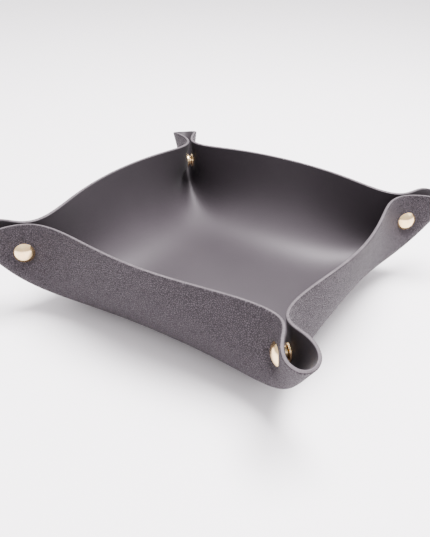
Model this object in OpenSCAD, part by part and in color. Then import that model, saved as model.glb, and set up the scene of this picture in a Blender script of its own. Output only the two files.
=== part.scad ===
// Square leather tray that snaps together at its four corners and opens out flat.
// One leather blank is creased into a base, four walls and eight ear halves.
// Each corner is pinched outwards into a loop and held by one press stud.
// The tray stands on z = 0 with its centre on the Z axis and the back wall at +Y.

/* [Leather] */
// Thickness of the leather
leather_t = 2.2; // [1.6:0.1:2.4]
// Distance from the tray's centre to the foot crease of each wall
base_half = 67.1; // [60:0.1:80]
// Height of the wall, from the foot crease to the rim, along the leather
wall_h = 57.4; // [54:0.2:62]
// Radius of the rounded corner of the blank
corner_r = 30; // [26:1:38]
// Width of the gentle rise round the edge of the base
rise_w = 24; // [20:1:28]
// Height of the foot crease above the flat of the base
rise_h = 6.5; // [4:0.1:7]

/* [Folds] */
// Angle of the standing walls above the horizontal
wall_lean = 66.6; // [65.6:0.1:67.6]
// Direction of the pinch crease, from square to the rim towards the corner
pinch_dir = 15.3; // [14.5:0.1:16]
// Fold angle at the pinch crease, where the wall turns into the ear
pinch_fold = 50.1; // [49.5:0.1:51]
// Direction of the tip crease, from square to the rim towards the corner
tip_dir = 40.5; // [40:0.1:41]
// Fold angle at the tip crease, where the ear closes into its loop
tip_fold = 86.2; // [85:0.1:87]

/* [Press studs] */
// Distance from the foot corner to the snap, square to the diagonal's foot
snap_out = 28.3; // [28:0.1:28.6]
// Height of the snap above the surface the tray stands on
snap_z = 42.5; // [42:0.1:43]
// Distance from the diagonal plane to the middle of each leather layer
layer_gap = 3.45; // [3.4:0.05:3.6]
// Diameter of the domed cap
cap_d = 12.5; // [11:0.5:12.5]
// Height of the cap's dome
cap_h = 2.4; // [1.8:0.1:2.8]
// Diameter of the socket and of the stud's flange
socket_d = 10; // [9:0.5:10.5]
// Diameter of the stud's knob
knob_d = 3.9; // [3.6:0.1:4]
// Diameter of the rivet head behind the stud
post_d = 9; // [8:0.5:10]

/* [Hidden] */
$fn = 64;

// Turn of each wall about the vertical, from the back wall
back = 0;
right = -90;
front = 180;
left = 90;
// Which half of a corner a snap part sits on: the one with the larger y, or the larger x
y_side = 0;
x_side = 1;

// Half thickness, so that every crease lies in the middle of the leather
half_t = leather_t / 2;
crease_z = half_t + rise_h;
rise_r = (rise_w * rise_w + rise_h * rise_h) / (2 * rise_h);
rise_angle = asin(rise_w / rise_r);
rise_steps = 8;
// Bevel clearance on each side of a crease: half the thickness shut by half the fold
foot_gap = 0.85;
pinch_gap = 1.1;
tip_gap = 1.3;
tip_end_gap = 0.9;
// The ear layers start this far from the foot corner, where the two halves stand clear of each other
ear_start = 19;
tip_start = 36;
far = 110;
round_at = wall_h - corner_r;

// Press stud details
seat_r = cap_d / 2 + 0.75;
hole_r = 2.2;
shank_r = 2;
face_y = layer_gap - half_t;
out_y = layer_gap + half_t;
skin = 0.02;
socket_h = face_y + 1.05;
flange_h = 1;
knob_r = knob_d / 2;
bore_r = knob_r + 0.55;
bore_depth = 2.9;
knob_h = 2.3;
cap_lip = 0.5;
post_h = 1.1;

leather_colour = [0.31, 0.29, 0.31];
ear_colour = [0.36, 0.34, 0.36];
tip_colour = [0.41, 0.39, 0.41];
gold_colour = [0.83, 0.72, 0.52];

function ray(a) = [sin(a), cos(a)];
function beside(a) = [cos(a), -sin(a)];

// Places a flat piece of a wall: x along the crease, y up the wall, z towards the inside
module on_wall(turn, end) {
    rotate([0, 0, turn])
        mirror([end, 0, 0])
            translate([base_half, base_half, crease_z])
                rotate([wall_lean, 0, 0])
                    children();
}

module on_ear(turn, end) {
    on_wall(turn, end)
        rotate(a = pinch_fold, v = [sin(pinch_dir), cos(pinch_dir), 0])
            children();
}

module on_tip(turn, end) {
    on_ear(turn, end)
        rotate(a = -tip_fold, v = [sin(tip_dir), cos(tip_dir), 0])
            children();
}

// Places a snap part: z runs out of the diagonal plane along the stud's axis
module on_snap(turn, side) {
    rotate([0, 0, turn + 45])
        translate([(base_half * sqrt(2)) + snap_out, 0, snap_z])
            rotate([side == y_side ? -90 : 90, 0, 0])
                children();
}

// The blank's outline beyond a foot corner: straight rim, rounded corner
module blank_corner() {
    translate([-far, 0])
        square([far + round_at, wall_h]);
    square([wall_h, round_at]);
    translate([round_at, round_at])
        circle(r = corner_r, $fn = 96);
}

// The strip of the blank between two creases that leave the foot corner
module between(from, to, from_gap, to_gap, start) {
    polygon([ray(from) * start + beside(from) * from_gap,
        ray(from) * far + beside(from) * from_gap,
        ray(to) * far - beside(to) * to_gap,
        ray(to) * start - beside(to) * to_gap]);
}

module slab() {
    translate([0, 0, -half_t])
        linear_extrude(height = leather_t)
            children();
}

// Rising edge of the base on one side, as a cross-section from the middle outwards
module rise_section() {
    top = [for (i = [0:rise_steps]) let (a = rise_angle * i / rise_steps)
        [base_half - rise_w + rise_r * sin(a), rise_r * (1 - cos(a))]];
    trim = foot_gap * [cos(rise_angle), sin(rise_angle)];
    path = [for (i = [0:rise_steps]) i < rise_steps ? top[i] : top[i] - trim];
    low = [for (i = [0:rise_steps]) let (a = rise_angle * i / rise_steps)
        path[i] + half_t * [sin(a), -cos(a)]];
    high = [for (i = [rise_steps:-1:0]) let (a = rise_angle * i / rise_steps)
        path[i] + half_t * [-sin(a), cos(a)]];
    polygon(concat([[0, -half_t]], low, high, [[0, half_t]]));
}

// One quarter of the base, bounded by the two diagonals
module base_quarter() {
    intersection() {
        translate([-base_half, 0, half_t])
            rotate([90, 0, 90])
                linear_extrude(height = 2 * base_half)
                    rise_section();
        linear_extrude(height = 20, center = true)
            polygon([[0, 0], [base_half, base_half], [-base_half, base_half]]);
    }
}

module base_panel() {
    color(leather_colour)
        union() {
            for (turn = [0:90:270])
                rotate([0, 0, turn])
                    base_quarter();
            translate([0, 0, half_t])
                cube([2 * (base_half - rise_w), 2 * (base_half - rise_w), leather_t], center = true);
        }
}

module wall(turn) {
    top_x = wall_h * tan(pinch_dir);
    side = pinch_gap / cos(pinch_dir);
    low_x = foot_gap * tan(pinch_dir);
    span = 2 * base_half;
    color(leather_colour)
        on_wall(turn, 0)
            slab()
                polygon([[low_x - side, foot_gap],
                    [top_x - side, wall_h],
                    [side - top_x - span, wall_h],
                    [side - low_x - span, foot_gap]]);
}

module ear(turn, end) {
    corner = turn + (end == 0 ? 0 : 90);
    side = end == 0 ? y_side : x_side;
    color(ear_colour)
        difference() {
            union() {
                difference() {
                    on_ear(turn, end)
                        slab()
                            intersection() {
                                blank_corner();
                                between(pinch_dir, tip_dir, pinch_gap, tip_gap, ear_start);
                            }
                    on_snap(corner, side)
                        cylinder(r = seat_r - 0.1, h = 2 * out_y + 4);
                }
                on_snap(corner, side)
                    translate([0, 0, face_y])
                        cylinder(r = seat_r, h = leather_t);
            }
            on_snap(corner, side)
                cylinder(r = hole_r, h = 2 * out_y);
        }
}

module tip(turn, end) {
    color(tip_colour)
        on_tip(turn, end)
            slab()
                intersection() {
                    blank_corner();
                    between(tip_dir, 45, tip_gap, tip_end_gap, tip_start);
                }
}

// Domed cap with a lip that turns under, and the shank that passes through the leather
module cap(turn, side) {
    r = cap_d / 2;
    dome_r = (r * r + cap_h * cap_h) / (2 * cap_h);
    color(gold_colour)
        on_snap(turn, side)
            translate([0, 0, out_y + skin])
                rotate_extrude($fn = 72) {
                    intersection() {
                        translate([0, cap_h - dome_r])
                            circle(r = dome_r, $fn = 180);
                        square([r, cap_h + 1]);
                    }
                    translate([0, -leather_t])
                        square([shank_r, leather_t + cap_lip]);
                }
}

module socket(turn, side) {
    r = socket_d / 2;
    color(gold_colour)
        on_snap(turn, side)
            translate([0, 0, face_y - skin - socket_h])
                rotate_extrude($fn = 64)
                    polygon([[bore_r, 0], [bore_r + 0.9, 0], [bore_r + 1.2, 0.3],
                        [bore_r + 1.2, 1.5], [r, 2.1], [r, socket_h - 0.2],
                        [r - 0.2, socket_h], [0, socket_h], [0, bore_depth], [bore_r, bore_depth]]);
}

module stud(turn, side) {
    r = socket_d / 2;
    neck = knob_r - 0.35;
    color(gold_colour)
        on_snap(turn, side)
            translate([0, 0, face_y - skin])
                mirror([0, 0, 1])
                    rotate_extrude($fn = 64)
                        polygon([[0, 0], [r - 0.2, 0], [r, 0.2], [r - 0.3, flange_h],
                            [neck + 0.4, flange_h], [neck, flange_h + 0.4],
                            [neck, flange_h + 0.8], [knob_r, flange_h + 1.3],
                            [knob_r, flange_h + 1.7], [knob_r - 0.6, flange_h + knob_h],
                            [0, flange_h + knob_h]]);
}

// Rivet that holds the stud: a low round head outside and a shank through the leather
module post(turn, side) {
    r = post_d / 2;
    dome_r = (r * r + post_h * post_h) / (2 * post_h);
    color(gold_colour)
        on_snap(turn, side)
            translate([0, 0, out_y + skin])
                rotate_extrude($fn = 64) {
                    intersection() {
                        translate([0, post_h - dome_r])
                            circle(r = dome_r, $fn = 240);
                        square([r, post_h + 1]);
                    }
                    translate([0, -leather_t])
                        square([shank_r, leather_t + post_h / 2]);
                }
}

base_panel();
wall(back);  // wall_back
wall(right);  // wall_right
wall(front);  // wall_front
wall(left);  // wall_left
ear(back, 0);  // ear_back_right
ear(back, 1);  // ear_back_left
ear(right, 0);  // ear_right_front
ear(right, 1);  // ear_right_back
ear(front, 0);  // ear_front_left
ear(front, 1);  // ear_front_right
ear(left, 0);  // ear_left_back
ear(left, 1);  // ear_left_front
tip(back, 0);  // tip_back_right
tip(back, 1);  // tip_back_left
tip(right, 0);  // tip_right_front
tip(right, 1);  // tip_right_back
tip(front, 0);  // tip_front_left
tip(front, 1);  // tip_front_right
tip(left, 0);  // tip_left_back
tip(left, 1);  // tip_left_front
cap(back, x_side);  // cap_back_right
cap(right, x_side);  // cap_front_right
cap(front, y_side);  // cap_front_left
cap(left, y_side);  // cap_back_left
socket(back, x_side);  // socket_back_right
socket(right, x_side);  // socket_front_right
socket(front, y_side);  // socket_front_left
socket(left, y_side);  // socket_back_left
stud(back, y_side);  // stud_back_right
stud(right, y_side);  // stud_front_right
stud(front, x_side);  // stud_front_left
stud(left, x_side);  // stud_back_left
post(back, y_side);  // post_back_right
post(right, y_side);  // post_front_right
post(front, x_side);  // post_front_left
post(left, x_side);  // post_back_left
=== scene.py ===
"""Looks of the folding dice tray: one leather blank, bent and held by its four press studs.

The blank's bent shape is settled by a small sheet simulation, then cut into the pieces that the CAD
hinges move: a floor, four walls, eight ear halves and eight ear tips, which share their borders exactly.
Lengths are in millimetres up to the point where a mesh is made, and flat places are measured on the
blank before it was bent, from its centre.
"""

import math

import bpy
import numpy as np
from mathutils import Matrix, Vector


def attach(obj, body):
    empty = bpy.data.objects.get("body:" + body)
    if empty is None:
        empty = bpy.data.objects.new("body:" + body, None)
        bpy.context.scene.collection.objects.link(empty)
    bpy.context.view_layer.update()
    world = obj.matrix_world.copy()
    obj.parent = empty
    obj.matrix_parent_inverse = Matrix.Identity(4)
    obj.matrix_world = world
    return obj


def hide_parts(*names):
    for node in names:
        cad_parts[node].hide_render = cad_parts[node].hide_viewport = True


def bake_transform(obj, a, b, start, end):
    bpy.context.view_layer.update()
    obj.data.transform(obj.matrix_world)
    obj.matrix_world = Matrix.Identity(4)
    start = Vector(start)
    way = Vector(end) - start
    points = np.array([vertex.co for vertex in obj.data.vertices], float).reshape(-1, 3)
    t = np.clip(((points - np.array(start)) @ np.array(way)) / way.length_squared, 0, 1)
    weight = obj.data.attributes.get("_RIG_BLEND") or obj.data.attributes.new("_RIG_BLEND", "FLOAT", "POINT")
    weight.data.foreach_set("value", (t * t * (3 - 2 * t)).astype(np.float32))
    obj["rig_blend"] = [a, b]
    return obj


MM = 0.001

# The blank, flat
BLANK_HALF = 130.76
CORNER_ROUND = 37.64
LEATHER_T = 2.2
HALF_T = LEATHER_T / 2
SNAP_FROM_SIDE = 45.24  # snap centre, in from the blank's near corner along the rim
SNAP_FROM_RIM = 17.96  # snap centre, down from the rim
SNAP_HALF_GAP = 3.425  # middle of each leather layer to the diagonal, at the snap
SNAP_SEAT = 5.5  # radius of leather that the snap holds as the sheet settles
SEAT_FLAT = 6.6  # radius pressed quite flat under the snap's heads
SEAT_FADE = 10.5  # where that pressing has faded out
NECK_FROM_SIDE = 46.94  # where the rim is pinched shut above the snap
NECK_SIZE = 4.5  # radius of leather that is pinched there
NECK_HALF_GAP = 1.5  # middle of each leather layer to the diagonal, at the pinch

# How the sheet settles: grid cells from the centre to a side, stiffness and weight against the stretch
# springs, which have strength 1, and the shape it starts from
GRID = 44
BEND_STIFFNESS = 0.770
BEND_CELL = 2.5  # cell size at which that stiffness holds
WEIGHT = 1.922e-5
SETTLE_STEPS = 700
MOMENTUM = 0.9  # share of the last move that is carried on
CAREFUL_STEPS = 5  # the first steps carry nothing on
CALM_STEPS = 50  # near the end the sheet is stopped this often
CALM_FROM = 0.9  # after this share of the steps
START_WALL = 44.0  # flat height of the walls at the start
START_DRAW_IN = 0.55  # and how far they lean in
START_LIFT = 0.8  # and rise, for each millimetre of it
START_OPEN = 15.0  # how much further from the diagonal the snaps start
OPEN_STEPS = 0.4  # share of the steps in which they close
TABLE_SHARE = 0.75  # this much of the blank may touch the table
# How hard the snap, the pinch, the diagonal and the table hold, and the drag on every point
HOLD_SNAP, HOLD_NECK, HOLD_SIDE, HOLD_TABLE, DRAG = 1.0, 0.3, 0.15, 0.3, 0.002

# Where the hinges of the CAD meet the blank
FOOT = 67.167  # flat distance from the middle to each foot corner
WALL_START = -44.0  # the wall is stiff up to this direction from the foot corner
EAR_START = 9.5  # the ear half is stiff from here
EAR_END = 27.5  # to here
TIP_END = 45.0
FOOT_BELOW = 8.1  # the foot bends from this far inside the foot line
FOOT_ABOVE = 9.0  # to this far up the wall
SNAP_HOLD = 6.5  # leather this near the snap's centre stays with it
FLOOR_HALF = 50.0  # half the side of the floor piece, which never bends

# Mesh fineness
FLOOR_ROWS = 11
WALL_ROWS = 42
WALL_COLUMNS = 88
EAR_COLUMNS = 46
TIP_COLUMNS = 14
EDGE_ROUND = 0.7  # radius that softens the cut edge
EDGE_STEPS = 4
EDGE_BLEND = 3  # of these, how many carry the skins' own grain

# The leather's gloss is faintly mauve
LEATHER_GLOSS = (1.0, 0.91, 0.98, 1.0)

# The studio: half the table's side in metres, and the sky's brightness at the horizon and overhead
TABLE_HALF = 30.0
HORIZON = 1.1
ZENITH = 2.3
# Softboxes: name, place and aim in metres, side in metres, watts
LIGHTS = (
    ("overhead", (0.10, 0.12, 1.0), (0, 0, 0.02), 0.6, 52),
    ("right", (0.95, 0.25, 0.75), (0, 0, 0.03), 0.6, 2),
)

# The walls: name, turn about Z, and the corner names of its right and left ends
WALLS = (
    ("back", 0, "right", "left"),
    ("right", -90, "front", "back"),
    ("front", 180, "left", "right"),
    ("left", 90, "back", "front"),
)


# ---------------------------------------------------------------- the settled sheet


def sheet_springs(index, live, flat):
    """Edges along, across and diagonally over the grid, with their rest lengths and weights."""
    pairs, weights = [], []
    sets = (
        (index[:-1, :], index[1:, :], 1.0),
        (index[:, :-1], index[:, 1:], 1.0),
        (index[:-1, :-1], index[1:, 1:], 0.5),
        (index[1:, :-1], index[:-1, 1:], 0.5),
    )
    for a, b, weight in sets:
        a, b = a.ravel(), b.ravel()
        both = live[a] & live[b]
        pairs.append(np.stack([a[both], b[both]], 1))
        weights.append(np.full(both.sum(), weight))
    pairs, weights = np.concatenate(pairs), np.concatenate(weights)
    lengths = np.linalg.norm(flat[pairs[:, 0]] - flat[pairs[:, 1]], axis=1)
    return pairs, lengths, weights


def bending_rows(index, live, axis):
    """Second differences of one coordinate, with mirrored neighbours across x = 0 and y = 0."""
    count = index.shape[0]
    mirror_x = -1.0 if axis == 0 else 1.0
    mirror_y = -1.0 if axis == 1 else 1.0
    rows = []
    for i in range(count):
        for j in range(count):
            here = index[i, j]
            if not live[here]:
                continue
            ahead_x = i + 1 < count and live[index[i + 1, j]]
            ahead_y = j + 1 < count and live[index[i, j + 1]]
            if ahead_x and i > 0:
                rows.append(([index[i - 1, j], here, index[i + 1, j]], [1, -2, 1], 1.0))
            elif ahead_x:
                rows.append(([here, index[i + 1, j]], [-2, 1 + mirror_x], 0.5))
            if ahead_y and j > 0:
                rows.append(([index[i, j - 1], here, index[i, j + 1]], [1, -2, 1], 1.0))
            elif ahead_y:
                rows.append(([here, index[i, j + 1]], [-2, 1 + mirror_y], 0.5))
            if ahead_x and ahead_y and live[index[i + 1, j + 1]]:
                square = [here, index[i + 1, j], index[i, j + 1], index[i + 1, j + 1]]
                rows.append((square, [1, -1, -1, 1], 2.0))
    return rows


def settle_quarter():
    """Middle surface of the quarter x, y >= 0 of the blank, pinched by its snap and lying on the table.

    Each step projects every spring to its length, every snap seat to its distance from the diagonal,
    and every point to its own side of the diagonal, then solves for the sheet that fits them best.
    """
    step = BLANK_HALF / GRID
    count = GRID + 1
    index = np.arange(count * count).reshape(count, count)
    along = np.arange(count) * step
    flat = np.stack([g.ravel() for g in np.meshgrid(along, along, indexing="ij")], 1)
    round_at = BLANK_HALF - CORNER_ROUND
    reach = np.hypot(flat[:, 0] - round_at, flat[:, 1] - round_at)
    live = ~((flat.min(1) > round_at) & (reach > CORNER_ROUND + 0.6 * step))
    pairs, lengths, weights = sheet_springs(index, live, flat)
    first, second = pairs[:, 0], pairs[:, 1]

    snap = np.array([BLANK_HALF - SNAP_FROM_SIDE, BLANK_HALF - SNAP_FROM_RIM])
    held = np.hypot(*(flat - snap).T) <= SNAP_SEAT
    held = (held | (np.hypot(*(flat - snap[::-1]).T) <= SNAP_SEAT)) & live
    neck = np.array([BLANK_HALF - NECK_FROM_SIDE, BLANK_HALF])
    shut = np.hypot(*(flat - neck).T) <= NECK_SIZE
    shut = (shut | (np.hypot(*(flat - neck[::-1]).T) <= NECK_SIZE)) & live
    side = np.sign(flat[:, 1] - flat[:, 0])
    from_diagonal = np.abs(flat[:, 1] - flat[:, 0]) / math.sqrt(2)
    low = flat.max(1) < BLANK_HALF * TABLE_SHARE
    total = len(flat)

    solvers = []
    for axis in (0, 2):  # y is x mirrored in the diagonal
        matrix = np.zeros((total, total))
        np.add.at(matrix, (first, first), weights)
        np.add.at(matrix, (second, second), weights)
        np.add.at(matrix, (first, second), -weights)
        np.add.at(matrix, (second, first), -weights)
        stiffness = BEND_STIFFNESS * (BEND_CELL / step) ** 2
        for places, factors, weight in bending_rows(index, live, axis):
            factors = np.array(factors, float)
            matrix[np.ix_(places, places)] += stiffness * weight * np.outer(factors, factors)
        extra = np.full(total, DRAG)
        extra += (held * HOLD_SNAP + shut * HOLD_NECK + HOLD_SIDE) if axis < 2 else (low * HOLD_TABLE)
        extra[~live] += 1.0
        matrix[np.arange(total), np.arange(total)] += extra
        fixed = flat[:, axis] == 0 if axis < 2 else np.zeros(total, bool)
        matrix[fixed, :] = 0
        matrix[:, fixed] = 0
        matrix[fixed, fixed] = 1.0
        solvers.append((axis, np.linalg.inv(matrix).astype(np.float32), fixed))

    across = np.array([-1.0, 1.0]) / math.sqrt(2)
    wall = np.clip(flat - (BLANK_HALF - START_WALL), 0, None)
    now = np.zeros((total, 3))
    now[:, :2] = flat - START_DRAW_IN * wall
    now[:, 2] = START_LIFT * np.hypot(wall[:, 0], wall[:, 1])
    speed = np.zeros_like(now)
    for turn in range(SETTLE_STEPS):
        ahead = now + MOMENTUM * speed if turn > CAREFUL_STEPS else now
        span = ahead[first] - ahead[second]
        reach = np.linalg.norm(span, axis=1) + 1e-12
        pull = span * (lengths / reach * weights)[:, None]
        wanted = DRAG * ahead
        for axis in range(3):
            wanted[:, axis] += np.bincount(first, pull[:, axis], total)
            wanted[:, axis] -= np.bincount(second, pull[:, axis], total)
        distance = (ahead[:, :2] @ across) * side
        need = np.minimum(HALF_T, 0.8 * from_diagonal)
        short = np.where(side == 0, 0.0, np.maximum(need - distance, 0.0)) * side
        short = np.where(side == 0, -(ahead[:, :2] @ across), short)
        wanted[:, :2] += HOLD_SIDE * (ahead[:, :2] + 2 * short[:, None] * across)
        open_by = (1 - min(1.0, turn / (OPEN_STEPS * SETTLE_STEPS))) * START_OPEN
        for pinch, gap, hold in ((held, SNAP_HALF_GAP, HOLD_SNAP), (shut, NECK_HALF_GAP, HOLD_NECK)):
            to_gap = ahead[:, :2] + ((gap + open_by - distance) * side)[:, None] * across
            wanted[:, :2] += (hold * pinch)[:, None] * to_gap
        wanted[:, 2] += HOLD_TABLE * low * np.maximum(ahead[:, 2], 0.0)
        wanted[:, 2] -= WEIGHT * step * step
        wanted[~live] += ahead[~live]
        moved = np.empty_like(now)
        for axis, solver, fixed in solvers:
            goal = wanted[:, axis].astype(np.float32)
            goal[fixed] = 0.0
            moved[:, axis] = solver @ goal
        grid = moved.reshape(count, count, 3)
        grid[..., 1] = grid[..., 0].T
        moved = (0.5 * (grid + grid.transpose(1, 0, 2)[:, :, [1, 0, 2]])).reshape(-1, 3)
        speed = moved - now
        if turn % CALM_STEPS == 0 and turn > CALM_FROM * SETTLE_STEPS:
            speed *= 0.0
        now = moved
    return now.reshape(count, count, 3), live.reshape(count, count)


def fill_round_corner(quarter, live):
    """Carries the surface on past the rounded corner, as smoothly as possible, so that a spline fits it."""
    count = quarter.shape[0]
    index = np.arange(count * count).reshape(count, count)
    unknown = {p: k for k, p in enumerate(index[~live])}
    values = quarter.reshape(-1, 3)
    rows, goals = [], []
    for line in list(index) + list(index.T):
        for a, b, c in zip(line, line[1:], line[2:]):
            if not any(p in unknown for p in (a, b, c)):
                continue
            row, goal = np.zeros(len(unknown)), np.zeros(3)
            for p, factor in ((a, 1.0), (b, -2.0), (c, 1.0)):
                if p in unknown:
                    row[unknown[p]] += factor
                else:
                    goal -= factor * values[p]
            rows.append(row)
            goals.append(goal)
    solved = np.linalg.lstsq(np.array(rows), np.array(goals), rcond=None)[0]
    filled = values.copy()
    filled[list(unknown)] = solved
    return filled.reshape(quarter.shape)


def press_seats(flat, place, normal):
    """Presses the leather flat and square to the snap where the snap's heads sit on it."""
    for x_side in (-1, 1):
        for y_side in (-1, 1):
            across = np.array([-x_side, y_side, 0.0]) / math.sqrt(2)
            for side in (-1, 1):
                near, far = BLANK_HALF - SNAP_FROM_SIDE, BLANK_HALF - SNAP_FROM_RIM
                centre = (near, far) if side > 0 else (far, near)
                away = np.hypot(flat[..., 0] - x_side * centre[0], flat[..., 1] - y_side * centre[1])
                held = smooth((SEAT_FADE - away) / (SEAT_FADE - SEAT_FLAT))[..., None]
                off = side * SNAP_HALF_GAP - place @ across
                place = place + held * off[..., None] * across
                normal = normal * (1 - held) - held * side * across
    return place, normal / np.linalg.norm(normal, axis=-1, keepdims=True)


class Sheet:
    """The bent blank's middle surface, as a smooth spline over the whole flat blank."""

    def __init__(self, quarter):
        mirrored = quarter[1:][::-1] * (-1, 1, 1)
        half = np.concatenate([mirrored, quarter], 0)
        mirrored = half[:, 1:][:, ::-1] * (1, -1, 1)
        whole = np.concatenate([mirrored, half], 1)
        self.step = BLANK_HALF / (quarter.shape[0] - 1)
        control = self.fit(whole)
        self.control = self.fit(control.transpose(1, 0, 2)).transpose(1, 0, 2)

    @staticmethod
    def fit(values):
        """Control points along the first axis whose cubic spline passes through the values."""
        count = values.shape[0]
        matrix = np.zeros((count + 2, count + 2))
        for i in range(count):
            matrix[i + 1, i : i + 3] = (1 / 6, 4 / 6, 1 / 6)
        matrix[0, :3] = (1, -2, 1)
        matrix[-1, -3:] = (1, -2, 1)
        goal = np.zeros((count + 2,) + values.shape[1:])
        goal[1:-1] = values
        return np.linalg.solve(matrix, goal.reshape(count + 2, -1)).reshape(goal.shape)

    def basis(self, place):
        cells = (place + BLANK_HALF) / self.step
        cell = np.clip(cells.astype(int), 0, self.control.shape[0] - 4)
        f = cells - cell
        middle = (3 * f**3 - 6 * f**2 + 4, -3 * f**3 + 3 * f**2 + 3 * f + 1)
        value = np.stack([(1 - f) ** 3, *middle, f**3], -1) / 6
        slope = np.stack([-((1 - f) ** 2), 3 * f**2 - 4 * f, -3 * f**2 + 2 * f + 1, f**2], -1) / 2
        return cell, value, slope / self.step

    def at(self, flat):
        """(position, unit normal towards the inside, slope along x, slope along y) at flat points."""
        ix, vx, sx = self.basis(flat[..., 0])
        iy, vy, sy = self.basis(flat[..., 1])
        four = np.arange(4)
        patch = self.control[ix[..., None, None] + four[:, None], iy[..., None, None] + four]
        place = np.einsum("...a,...b,...abk->...k", vx, vy, patch)
        along_x = np.einsum("...a,...b,...abk->...k", sx, vy, patch)
        along_y = np.einsum("...a,...b,...abk->...k", vx, sy, patch)
        normal = np.cross(along_x, along_y)
        normal /= np.linalg.norm(normal, axis=-1, keepdims=True)
        place, normal = press_seats(flat, place, normal)
        return place + np.array([0, 0, HALF_T]), normal, along_x, along_y


# ---------------------------------------------------------------- the pieces' flat layout


def smooth(x):
    x = np.clip(x, 0, 1)
    return x * x * (3 - 2 * x)


def rim_reach(angles):
    """Distance from a foot corner to the blank's outline, and the outline's outward direction there."""
    lean = np.radians(angles)
    ray = np.stack([np.sin(lean), np.cos(lean)], -1)
    reach = (BLANK_HALF - FOOT) / ray[:, 1]
    outward = np.zeros_like(ray)
    outward[:, 1] = 1.0
    round_at = BLANK_HALF - CORNER_ROUND
    from_centre = FOOT - round_at
    along = ray.sum(1) * from_centre
    on_round = FOOT + reach * ray[:, 0] > round_at
    to_round = -along + np.sqrt(along**2 - 2 * from_centre**2 + CORNER_ROUND**2)
    reach = np.where(on_round, to_round, reach)
    edge = from_centre + reach[:, None] * ray
    outward = np.where(on_round[:, None], edge / CORNER_ROUND, outward)
    return reach, ray, outward


def fan_layout(start, end, columns):
    """Rows from the foot corner out to the rim, columns from one direction to the other."""
    reach, ray, outward = rim_reach(np.linspace(start, end, columns + 1))
    share = np.linspace(0, 1, WALL_ROWS + 1)
    short = (reach - EDGE_ROUND) / reach
    share = np.broadcast_to(share[:, None], (WALL_ROWS + 1, columns + 1)).copy()
    share[-1] = short
    flat = FOOT + share[..., None] * (reach[:, None] * ray)
    rim = FOOT + reach[:, None] * ray
    return flat, rim, outward


def wall_layout():
    """Rows from the floor's border up to the rim, columns from the left end to the right end."""
    lower = np.linspace(FLOOR_HALF, FOOT, FLOOR_ROWS + 1)[:-1]
    upper = np.linspace(FOOT, BLANK_HALF, WALL_ROWS + 1)
    narrow = math.tan(math.radians(-WALL_START))
    heights = np.concatenate([lower, upper])
    widths = np.concatenate([lower, FOOT - (upper - FOOT) * narrow])
    heights[-1] -= EDGE_ROUND
    widths[-1] += EDGE_ROUND * narrow
    across = np.linspace(-1, 1, WALL_COLUMNS + 1)
    flat = np.stack(
        [widths[:, None] * across, np.broadcast_to(heights[:, None], (len(heights), len(across)))], -1
    )
    rim_width = FOOT - (BLANK_HALF - FOOT) * narrow
    rim = np.stack([rim_width * across, np.full(len(across), BLANK_HALF)], -1)
    outward = np.zeros_like(rim)
    outward[:, 1] = 1.0
    return flat, rim, outward


def foot_weight(flat):
    """0 on the floor, 1 on the wall; the bend narrows to nothing at the foot corners."""
    u, v = np.abs(flat[..., 0]), flat[..., 1]
    near = np.clip((FOOT - u) / max(FOOT_BELOW, FOOT_ABOVE), 1e-3, 1)
    return smooth((v - FOOT + FOOT_BELOW * near) / ((FOOT_BELOW + FOOT_ABOVE) * near))


def direction(flat):
    """Angle about the right foot corner, in degrees from straight up the wall towards the corner."""
    return np.degrees(np.arctan2(flat[..., 0] - FOOT, np.maximum(flat[..., 1] - FOOT, 1e-9)))


def ear_weight(flat):
    return smooth((direction(flat) - WALL_START) / (EAR_START - WALL_START))


def tip_weight(flat):
    snap = np.array([BLANK_HALF - SNAP_FROM_SIDE, BLANK_HALF - SNAP_FROM_RIM])
    away = np.hypot(*np.moveaxis(flat - snap, -1, 0))
    turning = smooth((direction(flat) - EAR_END) / (TIP_END - EAR_END))
    return turning * smooth((away - SNAP_HOLD) / SNAP_HOLD)


# ---------------------------------------------------------------- meshes


def turned(points, turn, mirror):
    """Local wall coordinates to the blank's own, in flat or in directions."""
    x = points[..., 0] * (-1 if mirror else 1)
    y = points[..., 1]
    c, s = round(math.cos(math.radians(turn))), round(math.sin(math.radians(turn)))
    return np.stack([x * c - y * s, x * s + y * c], -1)


def rim_rows(rim, outward, weight, turn, mirror):
    """The softly rounded cut edge, from the inner skin round to the outer one."""
    edge_flat, edge_out = turned(rim, turn, mirror), turned(outward, turn, mirror)
    base, up, along_x, along_y = SHEET.at(edge_flat)
    out = along_x * edge_out[:, :1] + along_y * edge_out[:, 1:]
    out -= up * (out * up).sum(-1, keepdims=True)
    out /= np.linalg.norm(out, axis=-1, keepdims=True)
    corner = HALF_T - EDGE_ROUND
    angles = np.linspace(90, 0, EDGE_STEPS + 1)[1:]
    rows = []
    for centre, angle in [(corner, a) for a in angles] + [(-corner, -a) for a in angles[::-1]]:
        c, s = math.cos(math.radians(angle)), math.sin(math.radians(angle))
        spot = base - out * EDGE_ROUND * (1 - c) + up * (centre + EDGE_ROUND * s)
        rows.append((spot, out * c + up * s, edge_flat + edge_out * (angle / 90.0), weight(rim)))
    return rows


def side_faces(line, flip):
    """Closes one side of a piece: quads between its inner and its outer skin."""
    faces = []
    for i in range(len(line) // 2):
        j = len(line) - 1 - i
        if j - i < 2:
            break
        quad = [int(p) for p in (line[i], line[i + 1], line[j - 1], line[j])]
        quad = quad if len(set(quad)) == 4 else [quad[0], quad[1], quad[3]]
        faces.append(quad[::-1] if flip else quad)
    return faces


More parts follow.
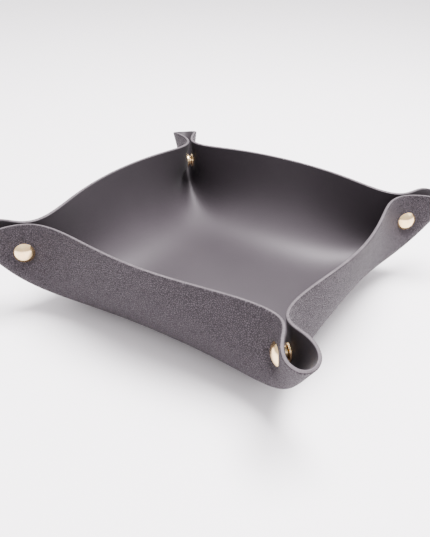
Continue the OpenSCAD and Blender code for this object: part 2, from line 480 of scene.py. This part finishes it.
def leather_piece(name, layout, weight, turn=0, mirror=False, has_rim=True):
    """One piece of the leather: two skins, a cut edge where it has rim, and closed borders."""
    flat, rim, outward = layout
    blend = weight(flat)
    flat_here = turned(flat, turn, mirror)
    place, normal, _, _ = SHEET.at(flat_here)
    edge = rim_rows(rim, outward, weight, turn, mirror) if has_rim else []
    spots, ups, flats, weights = ([row[k][None] for row in edge] for k in range(4))
    rows = np.concatenate([place + normal * HALF_T, *spots, (place - normal * HALF_T)[::-1]])
    normals = np.concatenate([normal, *ups, -normal[::-1]])
    flats = np.concatenate([flat_here, *flats, flat_here[::-1]])
    weights = np.concatenate([blend, *weights, blend[::-1]])
    grained = EDGE_BLEND if has_rim else 0
    strips = len(flat) - 1 + grained
    kinds = [INNER] * strips + [EDGE] * (len(edge) + 1 - 2 * grained) + [OUTER] * strips

    count, columns = rows.shape[:2]
    index = np.arange(count * columns).reshape(count, columns)
    faces, slots = [], []
    for lower, upper, kind in zip(index, np.roll(index, -1, 0), kinds + [EDGE]):
        faces += np.stack([lower[:-1], lower[1:], upper[1:], upper[:-1]], -1).tolist()
        slots += [kind] * (columns - 1)
    for line, flip in ((index[:, 0], False), (index[:, -1], True)):
        sides = side_faces(line, flip)
        faces += sides
        slots += [EDGE] * len(sides)
    if mirror:
        faces = [face[::-1] for face in faces]
    points, normals = rows.reshape(-1, 3) * MM, normals.reshape(-1, 3)
    return build_mesh(name, points, normals, flats.reshape(-1, 2), weights.ravel(), faces, slots)


def build_mesh(name, points, normals, flats, weights, faces, slots):
    """Makes the object; points that fall together at a foot corner become one."""
    keys, kept, where = {}, [], []
    for k, p in enumerate(np.round(points, 8)):
        key = tuple(p)
        if key not in keys:
            keys[key] = len(kept)
            kept.append(k)
        where.append(keys[key])
    used, used_slots = [], []
    for face, slot in zip(faces, slots):
        line = []
        for p in face:
            q = where[p]
            if q not in line:
                line.append(q)
        if len(line) >= 3:
            used.append(line)
            used_slots.append(slot)
    mesh = bpy.data.meshes.new(name)
    mesh.from_pydata(points[kept].tolist(), [], used)
    for material in LEATHER:
        mesh.materials.append(material)
    mesh.polygons.foreach_set("material_index", used_slots)
    mesh.polygons.foreach_set("use_smooth", [True] * len(used))
    layer = mesh.uv_layers.new(name="Blank")
    corners = np.empty(len(mesh.loops), np.int32)
    mesh.loops.foreach_get("vertex_index", corners)
    layer.data.foreach_set("uv", (flats[kept][corners] * MM).astype(np.float32).ravel())
    attribute = mesh.attributes.new("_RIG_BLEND", "FLOAT", "POINT")
    attribute.data.foreach_set("value", weights[kept].astype(np.float32))
    mesh.update()
    mesh.normals_split_custom_set_from_vertices(normals[kept].tolist())
    made = bpy.data.objects.new(name, mesh)
    bpy.context.scene.collection.objects.link(made)
    return made


def bend_between(piece, body_a, body_b):
    """Blends the piece across a joint, by the leather's own weights in place of straight ones."""
    data = piece.data.attributes["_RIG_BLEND"].data
    kept = np.empty(len(data), np.float32)
    data.foreach_get("value", kept)
    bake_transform(piece, body_a, body_b, start=(0, 0, 0), end=(0, 0, 1))
    piece.data.attributes["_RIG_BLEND"].data.foreach_set("value", kept)


# ---------------------------------------------------------------- materials


class Nodes:
    """Short way to write a material's nodes."""

    def __init__(self, name):
        self.material = bpy.data.materials.new(name)
        self.material.use_nodes = True
        self.tree = self.material.node_tree
        self.shader = self.tree.nodes["Principled BSDF"]

    def add(self, kind, inputs=(), **settings):
        node = self.tree.nodes.new("ShaderNode" + kind)
        for key, value in settings.items():
            setattr(node, key, value)
        for key, value in dict(inputs).items():
            if isinstance(value, bpy.types.NodeSocket):
                self.tree.links.new(value, node.inputs[key])
            else:
                node.inputs[key].default_value = value
        return node

    def set(self, **values):
        for key, value in values.items():
            socket = self.shader.inputs[key.replace("_", " ")]
            if isinstance(value, bpy.types.NodeSocket):
                self.tree.links.new(value, socket)
            else:
                socket.default_value = value

    def noise(self, where, scale, detail=3.0, rough=0.5):
        inputs = {"Vector": where, "Scale": scale, "Detail": detail, "Roughness": rough}
        return self.add("TexNoise", inputs).outputs["Fac"]

    def between(self, value, low, high, to_low, to_high):
        inputs = {"Value": value, "From Min": low, "From Max": high, "To Min": to_low, "To Max": to_high}
        return self.add("MapRange", inputs).outputs["Result"]

    def combine(self, a, b, operation="ADD"):
        return self.add("Math", {0: a, 1: b}, operation=operation).outputs[0]

    def ramp(self, value, *stops):
        node = self.add("ValToRGB", {"Fac": value})
        elements = node.color_ramp.elements
        while len(elements) < len(stops):
            elements.new(0.5)
        for element, (place, colour) in zip(elements, stops):
            element.position = place
            element.color = (*colour, 1)
        return node.outputs["Color"]

    def bump(self, height, strength, distance):
        inputs = {"Height": height, "Strength": strength, "Distance": distance}
        return self.add("Bump", inputs).outputs["Normal"]


def smooth_leather():
    """The finished face inside the tray: satin, with a very fine grain."""
    m = Nodes("leather_satin")
    place = m.add("UVMap", uv_map="Blank").outputs["UV"]
    cloud = m.noise(place, 14, 3)
    fine = m.noise(place, 900, 4, 0.6)
    m.set(Base_Color=m.ramp(cloud, (0.3, (0.024, 0.0196, 0.0233)), (0.7, (0.031, 0.0255, 0.0300))))
    pores = m.add("TexVoronoi", {"Vector": place, "Scale": 1500}).outputs["Distance"]
    m.set(Roughness=m.between(fine, 0.3, 0.7, 0.38, 0.47))
    height = m.combine(m.combine(fine, 0.5, "MULTIPLY"), m.combine(pores, 0.6, "MULTIPLY"))
    m.set(Normal=m.bump(height, 0.3, 0.0001))
    m.set(Specular_IOR_Level=0.45, Specular_Tint=LEATHER_GLOSS, Sheen_Weight=0.04, Sheen_Roughness=0.5)
    return m.material


def pebbled_leather():
    """The outside: a pebble grain of rounded cells a little over a millimetre across, with painted shade
    darkening the creases between them.
    """
    m = Nodes("leather_pebbled")
    place = m.add("UVMap", uv_map="Blank").outputs["UV"]
    swirl = m.add("TexNoise", {"Vector": place, "Scale": 260, "Detail": 2}).outputs["Color"]
    shifted = m.add("VectorMath", {0: swirl, 3: 0.0016}, operation="SCALE").outputs[0]
    moved = m.add("VectorMath", {0: place, 1: shifted}, operation="ADD").outputs[0]
    grain = {"Vector": moved, "Scale": 900}
    cells = m.add("TexVoronoi", grain, feature="DISTANCE_TO_EDGE").outputs["Distance"]
    pebble = m.between(cells, 0.0, 0.30, 0.0, 1.0)
    pebble = m.add("Math", {0: pebble, 1: 0.6}, operation="POWER").outputs[0]
    fine = m.noise(place, 2600, 3, 0.6)
    cloud = m.noise(place, 22, 4)
    # Colour darkens towards the cells' edges: painted shade in the creases between the pebbles, mixed with a
    # random cloud of tone
    tone = m.combine(m.combine(pebble, 0.75, "MULTIPLY"), m.combine(cloud, 0.25, "MULTIPLY"))
    m.set(Base_Color=m.ramp(tone, (0.10, (0.006, 0.0048, 0.006)), (0.85, (0.049, 0.0405, 0.0470))))
    m.set(Roughness=m.between(pebble, 0.0, 1.0, 0.85, 0.60))
    height = m.combine(pebble, m.combine(fine, 0.2, "MULTIPLY"))
    m.set(Normal=m.bump(height, 1.0, 0.0004))
    m.set(Specular_IOR_Level=0.28, Specular_Tint=LEATHER_GLOSS)
    return m.material


def cut_edge():
    """The cut edge: slightly paler and fibrous, sealed leather."""
    m = Nodes("leather_edge")
    place = m.add("UVMap", uv_map="Blank").outputs["UV"]
    cloud = m.noise(place, 120, 4, 0.6)
    fibre = m.noise(place, 1800, 3, 0.7)
    tone = m.combine(m.combine(fibre, 0.7, "MULTIPLY"), m.combine(cloud, 0.3, "MULTIPLY"))
    m.set(Base_Color=m.ramp(tone, (0.35, (0.034, 0.028, 0.032)), (0.62, (0.098, 0.083, 0.092))))
    m.set(Roughness=m.between(fibre, 0.3, 0.7, 0.55, 0.75))
    m.set(Normal=m.bump(fibre, 0.6, 0.0002))
    m.set(Specular_IOR_Level=0.35, Specular_Tint=LEATHER_GLOSS)
    return m.material


def gold_plate():
    """Pale gold plate, brightly polished, with faint handling marks."""
    m = Nodes("pale_gold")
    place = m.add("TexCoord").outputs["Object"]
    cloud = m.noise(place, 320, 3)
    marks = m.noise(place, 4200, 2)
    m.set(Base_Color=m.ramp(cloud, (0.3, (0.86, 0.60, 0.30)), (0.7, (0.95, 0.72, 0.42))))
    m.set(Roughness=m.between(marks, 0.3, 0.7, 0.12, 0.22), Metallic=1.0)
    m.set(Normal=m.bump(cloud, 0.05, 0.0001))
    return m.material


# ---------------------------------------------------------------- build


def build_leather():
    floor_line = np.linspace(-FLOOR_HALF, FLOOR_HALF, WALL_COLUMNS + 1)
    grid = np.stack(np.meshgrid(floor_line, floor_line), -1)
    floor = leather_piece("leather_floor", (grid, None, None), lambda f: f[..., 0] * 0, has_rim=False)
    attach(floor, "base")
    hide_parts("base_panel")
    ear, tip = fan_layout(WALL_START, EAR_END, EAR_COLUMNS), fan_layout(EAR_END, TIP_END, TIP_COLUMNS)
    for wall, turn, *ends in WALLS:
        body = "wall_" + wall
        piece = leather_piece("leather_" + body, wall_layout(), foot_weight, turn)
        bend_between(piece, "base", body)
        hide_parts(body)
        for mirror, end in enumerate(ends):
            ear_body, tip_body = f"ear_{wall}_{end}", f"tip_{wall}_{end}"
            piece = leather_piece("leather_" + ear_body, ear, ear_weight, turn, bool(mirror))
            bend_between(piece, body, ear_body)
            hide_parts(ear_body)
            piece = leather_piece("leather_" + tip_body, tip, tip_weight, turn, bool(mirror))
            bend_between(piece, ear_body, tip_body)
            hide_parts(tip_body)


def plate_snaps(material):
    for name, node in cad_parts.items():
        if name.startswith(("cap_", "socket_", "stud_", "post_")):
            node.data.materials.clear()
            node.data.materials.append(material)


def add_floor():
    corners = [(x * TABLE_HALF, y * TABLE_HALF, 0) for x, y in ((-1, -1), (1, -1), (1, 1), (-1, 1))]
    mesh = bpy.data.meshes.new("studio_floor")
    mesh.from_pydata(corners, [], [(0, 1, 2, 3)])
    m = Nodes("studio_white")
    m.set(Base_Color=(0.93, 0.885, 0.92, 1), Roughness=0.8)
    mesh.materials.append(m.material)
    floor = bpy.data.objects.new("studio_floor", mesh)
    bpy.context.scene.collection.objects.link(floor)


def add_light(name, place, aim, size, power):
    data = bpy.data.lights.new(name, "AREA")
    data.energy, data.size = power, size
    light = bpy.data.objects.new(name, data)
    light.location = place
    light.rotation_euler = (Vector(aim) - Vector(place)).to_track_quat("-Z", "Y").to_euler()
    bpy.context.scene.collection.objects.link(light)


def add_studio():
    world = bpy.data.worlds.new("studio")
    world.use_nodes = True
    tree = world.node_tree
    place = tree.nodes.new("ShaderNodeTexCoord")
    split = tree.nodes.new("ShaderNodeSeparateXYZ")
    ramp = tree.nodes.new("ShaderNodeMapRange")
    tree.links.new(place.outputs["Generated"], split.inputs["Vector"])
    tree.links.new(split.outputs["Z"], ramp.inputs["Value"])
    for key, value in {"From Min": 0.0, "From Max": 1.0, "To Min": HORIZON, "To Max": ZENITH}.items():
        ramp.inputs[key].default_value = value
    background = tree.nodes["Background"]
    background.inputs["Color"].default_value = (1.0, 0.985, 0.995, 1)
    tree.links.new(ramp.outputs["Result"], background.inputs["Strength"])
    bpy.context.scene.world = world
    for light in LIGHTS:
        add_light(*light)


def add_camera():
    """The viewing angle of the product picture: a little above the front corner, to its left."""
    right = Vector((0.84323, 0.53693, 0.02564))
    up = Vector((-0.29733, 0.42614, 0.85440))
    back = Vector((0.44783, -0.72809, 0.51898))
    place = Vector((0.18791, -0.31648, 0.23930))
    data = bpy.data.cameras.new("camera")
    data.lens, data.sensor_width = 43.98, 36.0
    camera = bpy.data.objects.new("camera", data)
    turn = Matrix((right, up, back)).transposed().to_4x4()
    camera.matrix_world = Matrix.Translation(place) @ turn
    bpy.context.scene.collection.objects.link(camera)
    bpy.context.scene.camera = camera


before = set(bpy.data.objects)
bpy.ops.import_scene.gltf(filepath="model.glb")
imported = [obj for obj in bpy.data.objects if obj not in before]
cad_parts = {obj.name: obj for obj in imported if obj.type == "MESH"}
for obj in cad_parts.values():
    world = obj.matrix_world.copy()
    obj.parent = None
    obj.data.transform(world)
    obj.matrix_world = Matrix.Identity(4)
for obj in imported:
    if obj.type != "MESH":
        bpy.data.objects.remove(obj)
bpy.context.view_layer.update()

INNER, OUTER, EDGE = range(3)
LEATHER = (smooth_leather(), pebbled_leather(), cut_edge())
SHEET = Sheet(fill_round_corner(*settle_quarter()))
build_leather()
plate_snaps(gold_plate())
add_floor()
add_studio()
add_camera()
